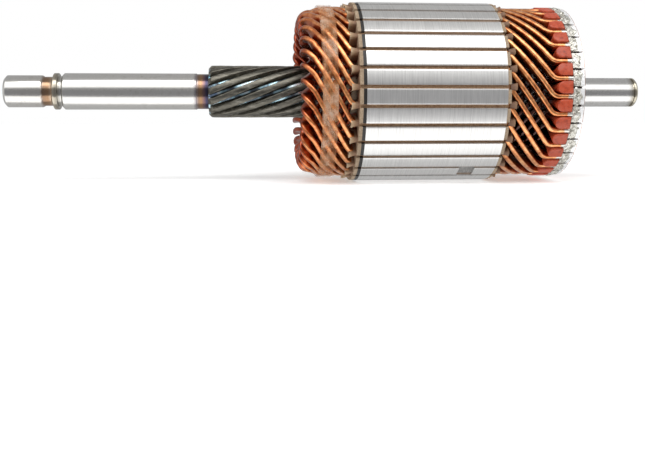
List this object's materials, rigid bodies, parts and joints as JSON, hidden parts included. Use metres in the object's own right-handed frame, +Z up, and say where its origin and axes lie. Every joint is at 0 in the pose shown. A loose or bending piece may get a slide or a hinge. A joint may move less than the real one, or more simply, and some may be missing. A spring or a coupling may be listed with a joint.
{
  "type": "motor armature",
  "caption": "Starter motor armature: helically splined shaft, slotted laminated core, wave winding of flat copper bars with a glass band, and a face commutator.",
  "frame": {"origin": "middle of the commutator-end journal, on the shaft's axis", "axes": "+X along the shaft, out of the commutator end; +Z up; the first slot lies 2 degrees above the -Y side"},
  "size_m": [0.2257, 0.0634, 0.0634],
  "materials": {
    "steel": "ground and turned steel shaft, bright bands of light, darker in the grooves",
    "core_steel": "turned edge of the steel laminations, fine rings round the core",
    "dark_steel": "blackened end lamination",
    "fibre": "pressed fibre board, beige",
    "paper": "insulating paper, beige at the cuffs and brown in the slots",
    "glass_band": "resin-bonded glass band, brownish pink and a little see-through",
    "moulding": "red-brown phenolic moulding, satin",
    "commutator_copper": "copper segments with a turned face",
    "solder": "bright tin solder",
    "copper": "enamelled copper bars, bright orange"
  },
  "bodies": {
    "root": {"shaft": "steel", "core_laminations": "core_steel", "end_lamination": "dark_steel", "drive_end_disc": "fibre", "commutator_end_disc": "fibre", "slot_liners": "paper", "slot_separators": "paper", "drive_end_cuffs": "paper", "commutator_end_cuffs": "paper", "winding_band": "glass_band", "commutator_hub": "moulding", "commutator_bush": "steel", "commutator_segments": "commutator_copper", "solder_beads": "solder", "coil_01": "copper", "coil_02": "copper", "coil_03": "copper", "coil_04": "copper", "coil_05": "copper", "coil_06": "copper", "coil_07": "copper", "coil_08": "copper", "coil_09": "copper", "coil_10": "copper", "coil_11": "copper", "coil_12": "copper", "coil_13": "copper", "coil_14": "copper", "coil_15": "copper", "coil_16": "copper", "coil_17": "copper", "coil_18": "copper", "coil_19": "copper", "coil_20": "copper", "coil_21": "copper", "coil_22": "copper", "coil_23": "copper", "coil_24": "copper", "coil_25": "copper", "coil_26": "copper", "coil_27": "copper", "coil_28": "copper", "coil_29": "copper", "coil_30": "copper", "coil_31": "copper"}
  },
  "joints": []
}
